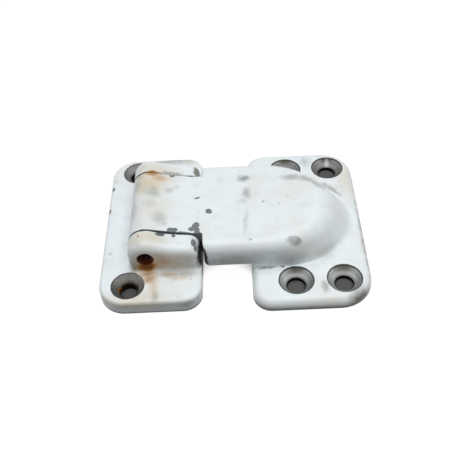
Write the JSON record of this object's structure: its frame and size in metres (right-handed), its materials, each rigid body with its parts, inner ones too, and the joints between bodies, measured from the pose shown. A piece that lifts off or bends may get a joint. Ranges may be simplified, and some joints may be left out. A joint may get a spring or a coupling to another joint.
{
  "type": "car door hinge",
  "caption": "Exterior door hinge of white painted castings: an eared pillar plate and a door plate with a wide domed arm, joined by a pressed pin, with countersunk screw holes.",
  "frame": {"origin": "on the mounting plane, straight under the middle of the pin", "axes": "+X from the pillar leaf to the door leaf, +Y along the pin, +Z out of the body panel"},
  "size_m": [0.136, 0.109, 0.0264],
  "materials": {
    "white_paint": "gloss white paint, chipped to grey primer, with rust stains at the pin",
    "pin_steel": "plain turned steel, rusted",
    "bush_metal": "turned, dull"
  },
  "bodies": {
    "pillar": {"pillar_leaf": "white_paint", "hinge_pin": "pin_steel"},
    "door": {"door_leaf": "white_paint", "front_bush": "bush_metal", "rear_bush": "bush_metal"}
  },
  "joints": [
    {"name": "door_swing", "type": "hinge", "parent": "pillar", "child": "door", "pos_m": [0, 0, 0.0174], "axis": [0, -1, 0], "range_deg": [0, 180]}
  ]
}
